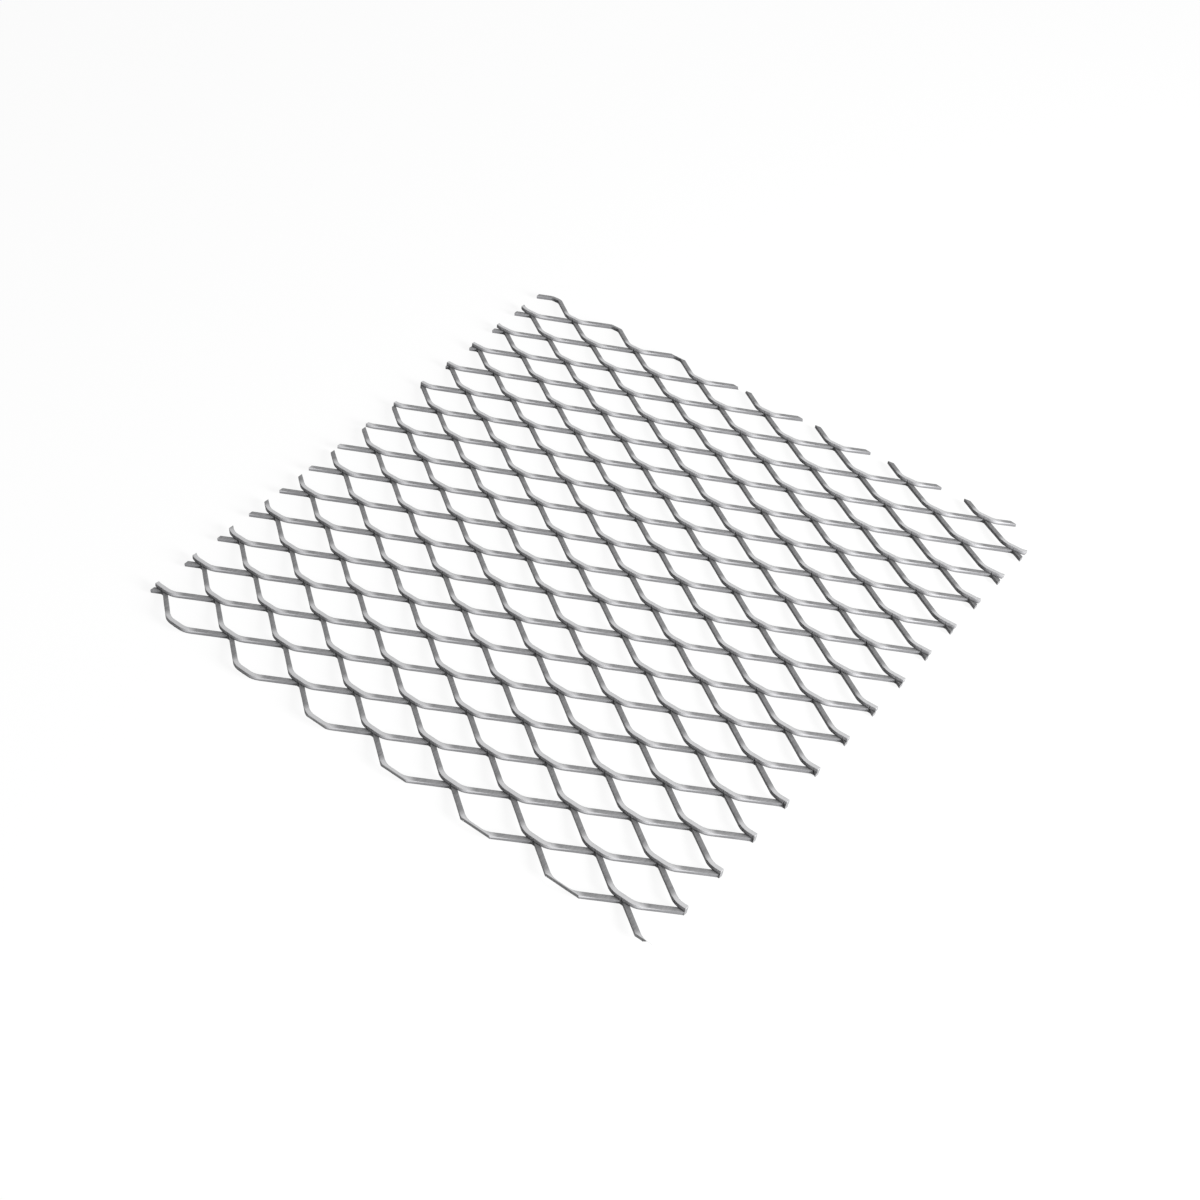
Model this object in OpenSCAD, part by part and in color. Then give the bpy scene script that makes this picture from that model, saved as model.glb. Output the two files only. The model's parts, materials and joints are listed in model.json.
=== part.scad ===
// Raised expanded metal: a plate is slit in staggered rows and drawn out in one pass, so that every
// strand runs on into its neighbours and the whole sheet stays one piece of steel.
// Millimetres, +Z up. X is the long way of the mesh, Y the short way. The origin is on the floor under
// the middle of the sheet.

/* [Sheet] */
// Overall length of the cut piece, along the long way of the mesh
sheet_length = 295; // [150:1:600]
// Rows of strands from the near edge to the far one, which set the width of the piece
strand_rows = 28; // [12:1:56]
// How far the left edge runs in from the far corner to the near one
left_runout = 26; // [0:0.5:40]
// How far the right edge runs in from the far corner to the near one
right_runout = 6.5; // [0:0.5:40]
// How far the far edge runs in from the left corner to the right one
far_runout = 6; // [0:0.5:10]
// How far the near edge runs in from the left corner to the right one
near_runout = 2.9; // [0:0.1:10]
// How far the near and far edges start outside the outermost strands' bonds, at the left
edge_margin = 1.6; // [1:0.1:3]

/* [Mesh] */
// Long way of the mesh, from bond centre to bond centre
long_way = 40; // [30:0.5:60]
// Short way of the mesh, from bond centre to bond centre
short_way = 21; // [14:0.5:26]
// Length of the bond that the slits leave between two strands
bond_length = 4.5; // [3:0.5:10]
// Straight run at the peak of a strand, in the middle of its bond with the row after it
peak_length = 0.8; // [0.6:0.1:3]
// Long-way distance from the middle of the sheet to the bond nearest to it
mesh_shift = -18.2; // [-20:0.1:20]

/* [Strand] */
// Width of one strand, which is the feed between two rows of slits
strand_width = 1.8; // [1.5:0.1:4.5]
// Thickness of the plate
plate_thickness = 2; // [0.8:0.1:3]
// Bend radius at mid-thickness, where a strand leaves its bond with the row before it
cup_radius = 8; // [3:0.5:10]
// Bend radius at mid-thickness, where a strand leaves its bond with the row after it
peak_radius = 1.6; // [1.6:0.1:4]

/* [Hidden] */
// Flats that stand for each bend
bend_steps = 2;
// Press stroke that draws the plate out to the short way, set to a hundredth of a millimetre
stroke = round(100 * sqrt(pow(short_way / 2, 2) - pow(strand_width, 2))) / 100;
// Lean of the bonds out of the plane of the sheet
bond_tilt = atan(stroke / strand_width);
// Overall thickness of the raised sheet
raised_height = 2 * strand_width * sin(bond_tilt) + plate_thickness * cos(bond_tilt);
// Room that one leg of a strand has along the long way, between the flats at its two ends
leg_run = (long_way - bond_length - peak_length) / 2;
// Drop that the two bends of a leg would make if they were quarter turns
bend_drop = cup_radius + peak_radius;
// Slope of a leg against the plate, which leaves both bends tangent to leg and flat
leg_slope = asin(bend_drop / norm([leg_run, stroke - bend_drop])) + atan2(stroke - bend_drop, leg_run);
// Half-pitches counted from the middle, enough to pass the left and right edges of the sheet
place_reach = ceil(sheet_length / long_way) + 2;
// Overall width of the cut piece, along the short way of the mesh
sheet_width = strand_rows * short_way / 2 + 2 * edge_margin;
// Corners of the cut piece, counter-clockwise from the near left one
corners = [
    [left_runout - sheet_length / 2, -sheet_width / 2],
    [sheet_length / 2 - right_runout, near_runout - sheet_width / 2],
    [sheet_length / 2, sheet_width / 2 - far_runout],
    [-sheet_length / 2, sheet_width / 2],
];

// True where a point lies left of the line from one point to the next
function left_of(from, to, point) =
    (to.x - from.x) * (point.y - from.y) - (to.y - from.y) * (point.x - from.x) > 0;

// True where a point lies inside all four cut edges
function in_sheet(point) =
    len([for (i = [0:3]) if (left_of(corners[i], corners[(i + 1) % 4], point)) i]) == 4;

// Rows by which a row lies beyond the middle of the sheet
function rows_out(row) = row - strand_rows / 2;

// A row of strands meets the row before it at even places and the row after it at odd ones
function meets_last(row, place) = (row + place) % 2 == 0;

// Plan position of the bond at one place of a row
function bond_at(row, place) = [
    mesh_shift + place * long_way / 2,
    (rows_out(row) + (meets_last(row, place) ? 0 : 1)) * short_way / 2,
];

// Places of a row whose bonds lie inside the cut edges
function kept_places(row) =
    [for (place = [-place_reach:place_reach]) if (in_sheet(bond_at(row, place))) place];

// Stations along one leg as [long way, drop, slope], from the last row's bond to the next row's
leg_stations = concat(
    [for (step = [0:bend_steps]) let (a = leg_slope * step / bend_steps)
        [bond_length / 2 + cup_radius * sin(a), cup_radius * (1 - cos(a)), a]],
    [for (step = [0:bend_steps]) let (a = leg_slope * (1 - step / bend_steps))
        [(long_way - peak_length) / 2 - peak_radius * sin(a), stroke - peak_radius * (1 - cos(a)), a]]
);

// The points of a list in the opposite order
function reversed(list) = [for (i = [len(list) - 1:-1:0]) list[i]];

// One edge of a leg, offset from its middle line to the upper (1) or lower (-1) side
function leg_edge(row, place, side) =
    let (down = meets_last(row, place), way = down ? 1 : -1, start = place + (down ? 0 : 1))
    [for (s = down ? leg_stations : reversed(leg_stations)) [
        start * long_way / 2 + way * (s[0] + side * plate_thickness / 2 * sin(s[2])),
        side * plate_thickness / 2 * cos(s[2]) - s[1],
    ]];

// Point of a row's edge in the middle of its flat at one place
function flat_point(row, place, side) =
    [place * long_way / 2, side * plate_thickness / 2 - (meets_last(row, place) ? 0 : stroke)];

// Edge of a whole row, from the middle of its flat at one place to the middle of its flat at another
function row_edge(row, first, last, side) = concat(
    [flat_point(row, first, side)],
    [for (place = [first:last - 1]) each leg_edge(row, place, side)],
    [flat_point(row, last, side)]
);

// One row of strands, as a wave that is one strand wide
module strand_wave(row, first, last) {
    linear_extrude(strand_width)
        polygon(concat(
            row_edge(row, first, last, 1),
            reversed(row_edge(row, first, last, -1))
        ));
}

// The flat plate that a row shares with the row before it, two strands wide at each of its bonds
module bond_plates(row, first, last) {
    linear_extrude(2 * strand_width)
        for (place = [first:last])
            if (meets_last(row, place))
                translate([place * long_way / 2, 0])
                square([peak_length, plate_thickness], center = true);
}

// A row with its bonds, from one leg before its first kept bond to one leg after its last. The first
// row was parted from the plate along its slit, so it has no bonds to a row before it.
module strand_row(row) {
    places = kept_places(row);
    translate([0, (rows_out(row) + 1) * strand_width, -rows_out(row) * stroke])
        rotate([90, 0, 0]) {
            strand_wave(row, min(places) - 1, max(places) + 1);
            if (row > 0)
                bond_plates(row, min(places), max(places));
        }
}

// The mesh as it leaves the press, leaned back until its bonds lie in one level
module drawn_mesh() {
    translate([mesh_shift, 0, raised_height / 2])
        rotate([bond_tilt, 0, 0])
        for (row = [0:strand_rows - 1])
            strand_row(row);
}

// The piece, sheared from the drawn mesh along four straight edges
module expanded_sheet() {
    color([0.56, 0.57, 0.58])
        intersection() {
            drawn_mesh();
            translate([0, 0, -1])
                linear_extrude(raised_height + 2)
                polygon(corners);
        }
}

expanded_sheet();
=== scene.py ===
"""Dresses a piece of raised expanded metal that lies flat on a pale studio floor.

The mesh is modelled as its maker draws it: one bond with the four half strands that leave it is shaped
once, laid out over the staggered lattice, welded where the half strands meet and sheared along the four
cut edges of the piece. Lengths in the dataclasses are millimetres, and Blender's are metres.
"""

import json
import logging
import math
from dataclasses import dataclass, field
from enum import Enum

import bpy
from mathutils import Matrix, Vector

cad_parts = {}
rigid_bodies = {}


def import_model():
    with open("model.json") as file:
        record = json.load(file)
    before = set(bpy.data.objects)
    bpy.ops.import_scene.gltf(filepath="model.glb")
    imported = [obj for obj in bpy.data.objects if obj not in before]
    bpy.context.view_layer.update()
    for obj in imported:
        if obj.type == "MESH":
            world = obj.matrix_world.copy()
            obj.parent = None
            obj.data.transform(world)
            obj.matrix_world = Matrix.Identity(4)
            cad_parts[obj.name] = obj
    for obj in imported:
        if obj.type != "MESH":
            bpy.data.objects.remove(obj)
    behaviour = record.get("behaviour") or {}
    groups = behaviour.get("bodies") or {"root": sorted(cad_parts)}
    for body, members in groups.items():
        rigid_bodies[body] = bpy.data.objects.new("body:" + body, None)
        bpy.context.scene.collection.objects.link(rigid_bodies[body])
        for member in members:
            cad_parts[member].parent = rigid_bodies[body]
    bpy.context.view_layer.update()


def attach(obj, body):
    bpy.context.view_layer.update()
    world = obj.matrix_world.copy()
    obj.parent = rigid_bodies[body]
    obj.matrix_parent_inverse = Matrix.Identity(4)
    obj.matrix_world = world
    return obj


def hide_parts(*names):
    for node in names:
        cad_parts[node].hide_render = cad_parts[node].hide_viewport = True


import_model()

LOG = logging.getLogger("expanded_sheet")
SHEET_NODE = "expanded_sheet"
MM = 0.001
# Distance within which two places count as the same, in metres
TOUCH = 1e-6
# The rounded edges of two half strands meet up to 0.02 mm apart and are welded
WELD = 0.03 * MM
# Edges turned by more than this are rounded over, and by less than this are shaded smooth
ROUNDED_TURN = math.radians(60)
SMOOTH_TURN = math.radians(30)
# Cosine above which a face counts as lying in a cut
IN_CUT = 0.9999
# Part of the noise over which the clouds of a surface fade from dark and rough to light and smooth
CLOUD_RANGE = (0.3, 0.7)


class Surface(Enum):
    """The two kinds of steel surface on a strand, by their material slot on the mesh."""

    ROLLED = 0
    SHEARED = 1


class Knot(Enum):
    """Which of the two rows that meet in a bond are there, as the side of the slit they lie on."""

    BOTH = (-1, 1)
    FIRST_ROW = (1,)
    LAST_ROW = (-1,)


def linear(hex_colour: str) -> tuple[float, float, float, float]:
    """Turns an sRGB hex colour into the linear colour that a shader takes.

    Args:
        hex_colour: Six hex digits after a hash sign.

    Returns:
        Red, green, blue and alpha as linear values.
    """
    parts = [int(hex_colour[i:i + 2], 16) / 255 for i in (1, 3, 5)]
    red, green, blue = (c / 12.92 if c <= 0.04045 else ((c + 0.055) / 1.055) ** 2.4 for c in parts)
    return red, green, blue, 1.0


def per_metre(size_mm: float) -> float:
    """Texture scale at which one feature of a pattern on Object coordinates has this size."""
    return 1 / (size_mm * MM)


def add_node(tree: bpy.types.NodeTree, kind: str, links: dict, **settings: object) -> bpy.types.Node:
    """Adds a shader node, sets it up and links it.

    Args:
        tree: Node tree that takes the node.
        kind: Blender's type name of the node.
        links: For each input, by name or number, either a value or the output socket that feeds it.
        **settings: Properties of the node itself.

    Returns:
        The new node.
    """
    node = tree.nodes.new(kind)
    for name, value in settings.items():
        setattr(node, name, value)
    for name, value in links.items():
        if isinstance(value, bpy.types.NodeSocket):
            tree.links.new(value, node.inputs[name])
        else:
            node.inputs[name].default_value = value
    return node


def make_active(piece: bpy.types.Object) -> None:
    """Selects one object alone and makes it the active one."""
    bpy.ops.object.select_all(action="DESELECT")
    piece.select_set(True)
    bpy.context.view_layer.objects.active = piece


def add_modifier(piece: bpy.types.Object, kind: str, **settings: object) -> None:
    """Adds a modifier to an object and applies it.

    Args:
        piece: Object that is changed.
        kind: Blender's type name of the modifier.
        **settings: Properties of the modifier.
    """
    make_active(piece)
    modifier = piece.modifiers.new(kind.lower(), kind)
    for name, value in settings.items():
        setattr(modifier, name, value)
    bpy.ops.object.modifier_apply(modifier=modifier.name)


@dataclass(frozen=True)
class SteelFinish:
    """One surface of bare low-carbon steel, as a procedural material.

    Attributes:
        name: Name of the material.
        dark: Darker colour of the surface, as sRGB hex.
        light: Lighter colour of the surface, as sRGB hex.
        painted_highlight: Lighter colour painted on the high points as a painted highlight, as if light
            from above falls on them, as sRGB hex.
        highlight_mm: Heights above the floor between which the painted highlight fades in.
        metal: How far the surface is bare metal, from 0 for scale to 1.
        smooth: Roughness of the smoothest patches.
        rough: Roughness of the roughest patches.
        cloud_mm: Size of the cloudy patches in the tone.
        stretch: How far the clouds are drawn out along X, Y and Z, as shares of their size.
        grit_mm: Size of the fine pits.
        pit_mm: Depth of the fine pits.
    """

    name: str
    dark: str
    light: str
    painted_highlight: str
    highlight_mm: tuple[float, float]
    metal: float
    smooth: float
    rough: float
    cloud_mm: float
    stretch: tuple[float, float, float]
    grit_mm: float
    pit_mm: float

    def material(self) -> bpy.types.Material:
        """Builds the material.

        Returns:
            A steel surface with clouded tone, a painted highlight on its high points, uneven gloss and
            fine pits.
        """
        made = bpy.data.materials.new(self.name)
        made.use_nodes = True
        tree = made.node_tree
        shader = tree.nodes["Principled BSDF"]
        shader.inputs["Metallic"].default_value = self.metal
        place = add_node(tree, "ShaderNodeTexCoord", {}).outputs["Object"]
        drawn = add_node(
            tree, "ShaderNodeMapping", {"Vector": place, "Scale": [1 / s for s in self.stretch]}
        )
        clouds = add_node(
            tree, "ShaderNodeTexNoise",
            {
                "Vector": drawn.outputs[0], "Scale": per_metre(self.cloud_mm),
                "Detail": 5.0, "Roughness": 0.6,
            },
        )
        tone = add_node(tree, "ShaderNodeValToRGB", {0: clouds.outputs["Fac"]})
        colours = (self.dark, self.light)
        for stop, position, colour in zip(tone.color_ramp.elements, CLOUD_RANGE, colours):
            stop.position = position
            stop.color = linear(colour)
        # Painted highlight: towards the top the colour fades to a lighter one, as if the high points were
        # lit from above
        height = add_node(tree, "ShaderNodeSeparateXYZ", {0: place}).outputs["Z"]
        low, high = (mm * MM for mm in self.highlight_mm)
        highlight_fade = add_node(
            tree, "ShaderNodeMapRange", {0: height, 1: low, 2: high, 3: 0.0, 4: 1.0},
            interpolation_type="SMOOTHSTEP",
        )
        highlighted_tone = add_node(
            tree, "ShaderNodeMix",
            {0: highlight_fade.outputs[0], 6: tone.outputs["Color"], 7: linear(self.painted_highlight)},
            data_type="RGBA",
        )
        tree.links.new(highlighted_tone.outputs[2], shader.inputs["Base Color"])
        gloss = add_node(
            tree, "ShaderNodeMapRange",
            {
                0: clouds.outputs["Fac"], 1: CLOUD_RANGE[0], 2: CLOUD_RANGE[1],
                3: self.rough, 4: self.smooth,
            },
        )
        tree.links.new(gloss.outputs[0], shader.inputs["Roughness"])
        grit = add_node(
            tree, "ShaderNodeTexNoise",
            {"Vector": place, "Scale": per_metre(self.grit_mm), "Detail": 3.0},
        )
        bump = add_node(
            tree, "ShaderNodeBump",
            {"Height": grit.outputs["Fac"], "Strength": 0.6, "Distance": self.pit_mm * MM},
        )
        tree.links.new(bump.outputs["Normal"], shader.inputs["Normal"])
        return made


# The face of hot-rolled plate carries a thin grey skin of scale, dull and cloudy; its high strands are
# painted lighter, a painted highlight of light from above. The pits of both faces are drawn coarser than
# real ones, to show.
ROLLED_FACE = SteelFinish(
    "rolled_steel_face", "#555557", "#676769", "#949496", (2.2, 3.0), 0.0, 0.5, 0.64,
    7.0, (1.0, 1.0, 2.5), 0.5, 0.03,
)
# A face that the press has just cut through is bare metal, bright and streaked along the stroke; its
# highest edges carry a painted highlight
SHEARED_FACE = SteelFinish(
    "sheared_steel_face", "#717172", "#858586", "#acacad", (3.15, 3.6), 1.0, 0.6, 0.74,
    3.0, (0.25, 1.0, 1.0), 0.4, 0.02,
)


@dataclass(frozen=True)
class Wave:
    """The wave of one row of strands at mid-thickness.

    Attributes:
        cup: Straight run at each bond with the row before.
        cup_bend: Bend radius on both sides of that bond.
        peak: Straight run at each bond with the row after.
        peak_bend: Bend radius on both sides of that bond.
    """

    cup: float
    cup_bend: float
    peak: float
    peak_bend: float

    def slope(self, reach: float, drop: float) -> float:
        """Works out the slope of a leg that runs on smoothly from one bend into the other.

        Args:
            reach: Distance along the row from bond to bond.
            drop: Distance through the plate from bond to bond.

        Returns:
            The leg's slope against the plate, in radians.
        """
        run, bends = reach - (self.cup + self.peak) / 2, self.cup_bend + self.peak_bend
        return math.asin(bends / math.hypot(run, drop - bends)) + math.atan2(drop - bends, run)

    def straight(self, reach: float, slope: float) -> float:
        """Works out how far the straight part of a leg reaches along the row.

        Args:
            reach: Distance along the row from bond to bond.
            slope: The leg's slope against the plate, in radians.

        Returns:
            The reach of the leg between its two bends.
        """
        bends = self.cup_bend + self.peak_bend
        return reach - (self.cup + self.peak) / 2 - bends * math.sin(slope)


# The press pulls each peak tight when it draws the next row out, so only the last row keeps round peaks
DRAWN_WAVE = Wave(4.5, 8.0, 0.8, 1.6)
LAST_WAVE = Wave(4.5, 6.0, 2.4, 3.6)


@dataclass
class ExpandedSheet:
    """The cut piece of expanded metal.

    Attributes:
        length: Overall length along the long way of the mesh.
        rows: Rows of strands from the near edge to the far one.
        left_runout: How far the left edge runs in from the far corner to the near one.
        right_runout: How far the right edge runs in from the far corner to the near one.
        far_runout: How far the far edge runs in from the left corner to the right one.
        near_runout: How far the near edge runs in from the left corner to the right one.
        edge_margin: How far the near and far edges start outside the outermost bonds.
        long_way: Long way of the mesh, from bond to bond.
        short_way: Short way of the mesh, from bond to bond.
        shift: Long-way distance from the middle of the sheet to the bond nearest to it.
        width: Width of one strand.
        thick: Thickness of the plate.
        cup_steps: Flats that make up one bend at a bond with the row before.
        peak_steps: Flats that make up one bend at a bond with the row after.
        twist: Turn of a strand's section half way between its bonds, top to the front, in degrees.
        slit: Gap that the slit leaves beside each strand.
        round_over: Rounding of the strands' long edges.
    """

    length: float = 295.0
    rows: int = 28
    left_runout: float = 26.0
    right_runout: float = 6.5
    # A little more than in the solid, so that the cut opens the fourth loop of the last row
    far_runout: float = 6.8
    near_runout: float = 2.9
    edge_margin: float = 1.6
    long_way: float = 40.0
    short_way: float = 21.0
    shift: float = -18.2
    width: float = 1.8
    thick: float = 2.0
    cup_steps: int = 6
    peak_steps: int = 4
    twist: float = 14.0
    slit: float = 0.04
    round_over: float = 0.16
    piece: bpy.types.Object = field(init=False)

    @property
    def stroke(self) -> float:
        """Press stroke that draws the plate out to the short way."""
        return math.sqrt((self.short_way / 2) ** 2 - self.width ** 2)

    @property
    def tilt(self) -> float:
        """Lean of the bonds out of the plane of the sheet, in radians."""
        return math.atan2(self.stroke, self.width)

    @property
    def height(self) -> float:
        """Overall thickness of the raised sheet."""
        return 2 * self.width * math.sin(self.tilt) + self.thick * math.cos(self.tilt)

    @property
    def whole(self) -> float:
        """Length of a bond between the two slits that end in it."""
        return DRAWN_WAVE.peak - 2 * self.slit

    @property
    def corners(self) -> list[Vector]:
        """Corners of the cut piece on the floor, counter-clockwise from the near left one, in metres."""
        half, deep = self.length / 2, self.rows * self.short_way / 4 + self.edge_margin
        points = [
            (self.left_runout - half, -deep),
            (half - self.right_runout, self.near_runout - deep),
            (half, deep - self.far_runout),
            (-half, deep),
        ]
        return [Vector((x, y, 0)) * MM for x, y in points]

    def draw_half_strand(self, side: int, end: int, wave: Wave) -> None:
        """Draws half a strand out of the end face of a bond that is being modelled in edit mode.

        Args:
            side: Side of the slit that the strand's row lies on, 1 for the farther and -1 for the nearer.
            end: End of the bond that the strand leaves, 1 for the right one and -1 for the left.
            wave: Wave of the strand's row.
        """
        mesh = bpy.context.edit_object.data
        bpy.ops.mesh.select_all(action="DESELECT")
        bpy.ops.object.mode_set(mode="OBJECT")
        for face in mesh.polygons:
            ahead, across = face.center.x * end, face.center.y * side
            face.select = abs(ahead - self.whole / 2 * MM) < TOUCH and across > 0
        bpy.ops.object.mode_set(mode="EDIT")
        if side > 0:
            flat, bend, steps = wave.cup, wave.cup_bend, self.cup_steps
        else:
            flat, bend, steps = wave.peak, wave.peak_bend, self.peak_steps
        slope = wave.slope(self.long_way / 2, self.stroke)
        bpy.ops.mesh.extrude_region()
        bpy.ops.transform.translate(value=(end * (flat - self.whole) / 2 * MM, 0, 0))
        middle = Vector((0, side * self.width / 2, 0)) * MM
        bpy.ops.transform.resize(value=(1, 1 - self.slit / self.width, 1), center_override=middle)
        centre = Vector((end * flat / 2, 0, -side * bend)) * MM
        for _ in range(steps):
            bpy.ops.mesh.extrude_region()
            bpy.ops.transform.rotate(
                value=-end * side * slope / steps, orient_axis="Y", center_override=centre
            )
        run, drop = bend * math.sin(slope), bend * (1 - math.cos(slope))
        section = Vector((end * (flat / 2 + run), side * self.width / 2, -side * drop)) * MM
        half_turn = -math.radians(self.twist / 2)
        bpy.ops.transform.rotate(value=half_turn, orient_axis="X", center_override=section)
        half = wave.straight(self.long_way / 2, slope) / 2
        leg = Vector((end * half, 0, -side * half * math.tan(slope))) * MM
        bpy.ops.mesh.extrude_region()
        bpy.ops.transform.translate(value=leg)
        bpy.ops.transform.rotate(value=half_turn, orient_axis="X", center_override=section + leg)
        bpy.ops.mesh.delete(type="ONLY_FACE")

    def make_knot(self, kind: Knot, waves: dict[int, Wave]) -> bpy.types.Object:
        """Models one bond with the half strands that leave it, lying in the plane of the plate.

        Args:
            kind: Which of the two rows are there.
            waves: Wave of the row on each side of the slit.

        Returns:
            The knot, centred on its bond, with X along the bond and Z through the plate.
        """
        low, high = min(0, *kind.value) * self.width, max(0, *kind.value) * self.width
        bpy.ops.object.select_all(action="DESELECT")
        bpy.ops.mesh.primitive_cube_add(size=1, location=(0, (low + high) / 2 * MM, 0))
        knot = bpy.context.object
        knot.scale = Vector((self.whole, high - low, self.thick)) * MM
        bpy.ops.object.transform_apply(location=True, rotation=True, scale=True)
        bpy.ops.object.mode_set(mode="EDIT")
        if kind is Knot.BOTH:
            bpy.ops.mesh.select_all(action="SELECT")
            bpy.ops.mesh.bisect(plane_co=(0, 0, 0), plane_no=(0, 1, 0))
        for side in kind.value:
            for end in (-1, 1):
                self.draw_half_strand(side, end, waves[side])
        self.round_edges()
        bpy.ops.object.mode_set(mode="OBJECT")
        self.sort_faces(knot)
        return knot

    def round_edges(self) -> None:
        """Takes the sharpness off the long edges of the knot that is being modelled in edit mode."""
        mesh = bpy.context.edit_object.data
        bpy.ops.mesh.select_all(action="DESELECT")
        bpy.ops.mesh.select_mode(type="EDGE")
        bpy.ops.mesh.edges_select_sharp(sharpness=ROUNDED_TURN)
        bpy.ops.object.mode_set(mode="OBJECT")
        for edge in mesh.edges:
            ends = [mesh.vertices[v].co for v in edge.vertices]
            if all(abs(p.y) < TOUCH and abs(abs(p.x) - self.whole / 2 * MM) < TOUCH for p in ends):
                edge.select = False
        bpy.ops.object.mode_set(mode="EDIT")
        bpy.ops.mesh.bevel(offset=self.round_over * MM, segments=2, affect="EDGES", clamp_overlap=False)
        bpy.ops.mesh.select_mode(type="FACE")

    def sort_faces(self, knot: bpy.types.Object) -> None:
        """Sorts a knot's faces into those of the rolled plate and those that the slits have cut.

        Args:
            knot: Knot that lies in the plane of the plate.
        """
        for surface in (ROLLED_FACE, SHEARED_FACE):
            knot.data.materials.append(bpy.data.materials.get(surface.name) or surface.material())
        for face in knot.data.polygons:
            cut = abs(face.normal.y) > 0.5
            face.material_index = (Surface.SHEARED if cut else Surface.ROLLED).value

    def lay_out(self, knot: bpy.types.Object, line: int, lines: int) -> bpy.types.Object:
        """Leans a knot back and repeats it along and across the sheet.

        Args:
            knot: Knot that lies in the plane of the plate.
            line: Line of bonds that takes the first knot, counted from the near edge.
            lines: How many lines of bonds take the knot, each one short way from the last.

        Returns:
            The laid-out knots as one object.
        """
        half_reach = math.ceil(self.length / self.long_way / 2) + 1
        first = self.shift + (line % 2) * self.long_way / 2 - half_reach * self.long_way
        knot.rotation_euler = (self.tilt, 0, 0)
        knot.location = Vector((first, (line - self.rows / 2) * self.short_way / 2, self.height / 2)) * MM
        make_active(knot)
        bpy.ops.object.transform_apply(location=True, rotation=True, scale=True)
        steps = (((self.long_way, 0, 0), 2 * half_reach + 1), ((0, self.short_way, 0), lines))
        for offset, count in steps:
            add_modifier(
                knot, "ARRAY", count=count, use_relative_offset=False, use_constant_offset=True,
                constant_offset_displace=Vector(offset) * MM,
            )
        return knot

    def shear(self) -> None:
        """Cuts the laid-out mesh along its four edges and closes the cut ends."""
        corners = self.corners
        up = Vector((0, 0, 1))
        cuts = [
            (start, (end - start).cross(up).normalized())
            for start, end in zip(corners, corners[1:] + corners[:1])
        ]
        bpy.ops.object.mode_set(mode="EDIT")
        for start, outward in cuts:
            bpy.ops.mesh.select_all(action="SELECT")
            bpy.ops.mesh.bisect(plane_co=start, plane_no=outward, clear_outer=True)
            bpy.ops.mesh.select_mode(type="EDGE")
            bpy.ops.mesh.select_all(action="DESELECT")
            bpy.ops.mesh.select_non_manifold(
                extend=False, use_wire=False, use_multi_face=False,
                use_non_contiguous=False, use_verts=False,
            )
            bpy.ops.mesh.fill_holes(sides=0)
        bpy.ops.object.mode_set(mode="OBJECT")
        for face in self.piece.data.polygons:
            if any(face.normal.dot(outward) > IN_CUT for _, outward in cuts):
                face.material_index = Surface.SHEARED.value

    def drop_offcuts(self) -> None:
        """Deletes the bits that the cuts have left loose from the sheet."""
        mesh = self.piece.data
        middle = min(mesh.vertices, key=lambda v: v.co.length)
        for vertex in mesh.vertices:
            vertex.select = vertex.index == middle.index
        for element in (*mesh.edges, *mesh.polygons):
            element.select = False
        bpy.ops.object.mode_set(mode="EDIT")
        bpy.ops.mesh.select_mode(type="VERT")
        bpy.ops.mesh.select_linked()
        bpy.ops.mesh.select_all(action="INVERT")
        bpy.ops.mesh.delete(type="VERT")
        bpy.ops.object.mode_set(mode="OBJECT")

    def build(self) -> bpy.types.Object:
        """Models the whole sheet.

        Returns:
            The sheet, as one piece that stands for the CAD solid.
        """
        inner = {-1: DRAWN_WAVE, 1: DRAWN_WAVE}
        parts = [
            self.lay_out(self.make_knot(Knot.FIRST_ROW, inner), 0, 1),
            self.lay_out(self.make_knot(Knot.BOTH, inner), 1, (self.rows - 1) // 2),
            self.lay_out(self.make_knot(Knot.BOTH, inner), 2, (self.rows - 2) // 2),
            self.lay_out(self.make_knot(Knot.BOTH, {-1: DRAWN_WAVE, 1: LAST_WAVE}), self.rows - 1, 1),
            self.lay_out(self.make_knot(Knot.LAST_ROW, {-1: LAST_WAVE}), self.rows, 1),
        ]
        make_active(parts[0])
        for part in parts:
            part.select_set(True)
        bpy.ops.object.join()
        self.piece = bpy.context.object
        self.piece.name = "drawn_steel_mesh"
        bpy.ops.object.mode_set(mode="EDIT")
        bpy.ops.mesh.select_all(action="SELECT")
        bpy.ops.mesh.remove_doubles(threshold=WELD)
        bpy.ops.mesh.normals_make_consistent(inside=False)
        bpy.ops.object.mode_set(mode="OBJECT")
        self.shear()
        self.drop_offcuts()
        make_active(self.piece)
        bpy.ops.object.shade_smooth_by_angle(angle=SMOOTH_TURN)
        return self.piece

    def dress(self) -> None:
        """Ties the sheet to the body and the solid that it stands for."""
        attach(self.piece, "root")
        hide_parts(SHEET_NODE)
        LOG.info("%s: %d faces", self.piece.name, len(self.piece.data.polygons))


@dataclass(frozen=True)
class SoftLamp:
    """A square softbox that points at the middle of the sheet.

    Attributes:
        name: Name of the lamp.
        place: Place of its middle, in metres.
        size: Side of its square, in metres.
        power: Power, in watts.
    """

    name: str
    place: tuple[float, float, float]
    size: float
    power: float

    def build(self) -> None:
        """Adds the lamp."""
        bpy.ops.object.light_add(type="AREA", location=self.place)
        lamp = bpy.context.object
        lamp.name = self.name
        lamp.rotation_euler = (-Vector(self.place)).to_track_quat("-Z", "Y").to_euler()
        lamp.data.size = self.size
        lamp.data.energy = self.power


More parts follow.
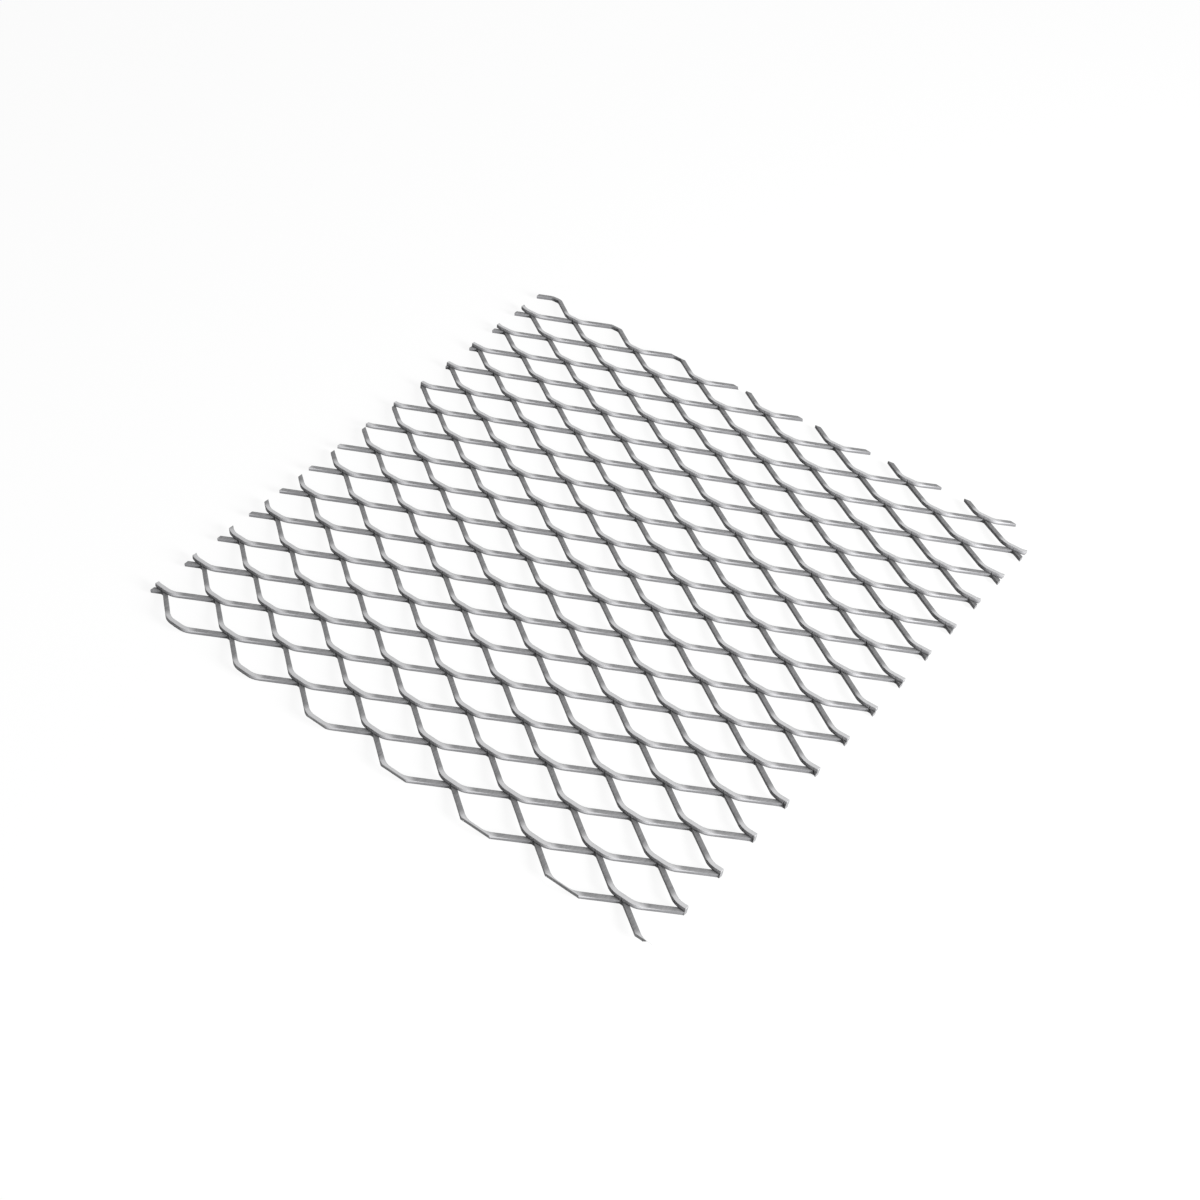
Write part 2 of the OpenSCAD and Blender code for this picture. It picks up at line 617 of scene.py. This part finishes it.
@dataclass
class Studio:
    """Pale floor, soft light and white surround.

    Attributes:
        floor_size: Side of the square floor, in metres.
        floor_colour: Colour of the floor where it is seen, as sRGB hex.
        bounce_colour: Colour of the light that the floor throws back on the sheet, as sRGB hex.
        white_share: How much of the floor shows as plain white, so that shadows on it stay faint.
        lamps: The soft lamps.
        ambient: Strength of the light that comes from all round.
    """

    floor_size: float = 6.0
    floor_colour: str = "#f4f4f4"
    bounce_colour: str = "#a8a8a8"
    white_share: float = 0.92
    lamps: tuple[SoftLamp, ...] = (
        SoftLamp("overhead_softbox", (-0.5, 0.8, 0.8), 0.8, 1.6),
        SoftLamp("right_softbox", (1.25, 0.05, 0.4), 0.5, 68.0),
    )
    ambient: float = 0.13

    def seen_or_mirrored(self, tree: bpy.types.NodeTree) -> bpy.types.NodeSocket:
        """Adds nodes that tell the rays that show a surface, straight or in metal, from those that light.

        Args:
            tree: Node tree that takes the nodes.

        Returns:
            A socket that is 1 for camera, glossy and transmission rays and 0 for others.
        """
        path = add_node(tree, "ShaderNodeLightPath", {}).outputs
        mirrored = add_node(
            tree, "ShaderNodeMath", {0: path["Is Glossy Ray"], 1: path["Is Transmission Ray"]},
            operation="MAXIMUM",
        )
        either = add_node(
            tree, "ShaderNodeMath", {0: path["Is Camera Ray"], 1: mirrored.outputs[0]},
            operation="MAXIMUM",
        )
        return either.outputs[0]

    def build_floor(self) -> None:
        """Adds the floor that the sheet lies on."""
        bpy.ops.object.select_all(action="DESELECT")
        bpy.ops.mesh.primitive_plane_add(size=self.floor_size, location=(0, 0, 0))
        floor = bpy.context.object
        floor.name = "studio_floor"
        made = bpy.data.materials.new("matt_white_floor")
        made.use_nodes = True
        tree = made.node_tree
        matt = tree.nodes["Principled BSDF"]
        seen = self.seen_or_mirrored(tree)
        colour = add_node(
            tree, "ShaderNodeMix",
            {0: seen, 6: linear(self.bounce_colour), 7: linear(self.floor_colour)},
            data_type="RGBA",
        )
        tree.links.new(colour.outputs[2], matt.inputs["Base Color"])
        matt.inputs["Roughness"].default_value = 0.9
        white = add_node(tree, "ShaderNodeEmission", {"Color": linear("#ffffff"), "Strength": 1.0})
        share = add_node(
            tree, "ShaderNodeMath", {0: seen, 1: self.white_share}, operation="MULTIPLY"
        )
        mix = add_node(
            tree, "ShaderNodeMixShader",
            {0: share.outputs[0], 1: matt.outputs["BSDF"], 2: white.outputs["Emission"]},
        )
        tree.links.new(mix.outputs["Shader"], tree.nodes["Material Output"].inputs["Surface"])
        floor.data.materials.append(made)

    def build_light(self) -> None:
        """Adds the soft lamps and the white surround."""
        for lamp in self.lamps:
            lamp.build()
        world = bpy.data.worlds.new("white_surround")
        bpy.context.scene.world = world
        world.use_nodes = True
        tree = world.node_tree
        plain = tree.nodes["Background"]
        strength = add_node(
            tree, "ShaderNodeMapRange",
            {0: self.seen_or_mirrored(tree), 1: 0.0, 2: 1.0, 3: self.ambient, 4: 1.0},
        )
        plain.inputs["Color"].default_value = linear("#ffffff")
        tree.links.new(strength.outputs[0], plain.inputs["Strength"])
        bpy.context.scene.view_settings.view_transform = "Standard"


@dataclass(frozen=True)
class Viewpoint:
    """Where the picture is taken from.

    Attributes:
        eye: Place of the camera, in millimetres.
        aim: Point on the floor in the middle of the picture, in millimetres.
        roll: Turn of the camera about its line of sight, in degrees.
        field_of_view: Angle across the picture, in degrees.
    """

    eye: tuple[float, float, float] = (289.65, -404.06, 443.0)
    aim: tuple[float, float, float] = (21.0, -19.95, 0.0)
    roll: float = 4.22
    field_of_view: float = 43.0

    def build(self) -> None:
        """Adds the camera and makes it the scene's own."""
        eye, aim = Vector(self.eye) * MM, Vector(self.aim) * MM
        bpy.ops.object.camera_add(location=eye)
        camera = bpy.context.object
        level = (aim - eye).to_track_quat("-Z", "Y").to_matrix()
        camera.rotation_euler = (level @ Matrix.Rotation(math.radians(self.roll), 3, "Z")).to_euler()
        camera.data.angle = math.radians(self.field_of_view)
        bpy.context.scene.camera = camera


def main() -> None:
    """Builds the sheet and its studio."""
    logging.basicConfig(level=logging.INFO, format="%(name)s: %(message)s")
    Viewpoint().build()
    sheet = ExpandedSheet()
    sheet.build()
    sheet.dress()
    studio = Studio()
    studio.build_floor()
    studio.build_light()


if __name__ == "__main__":
    main()
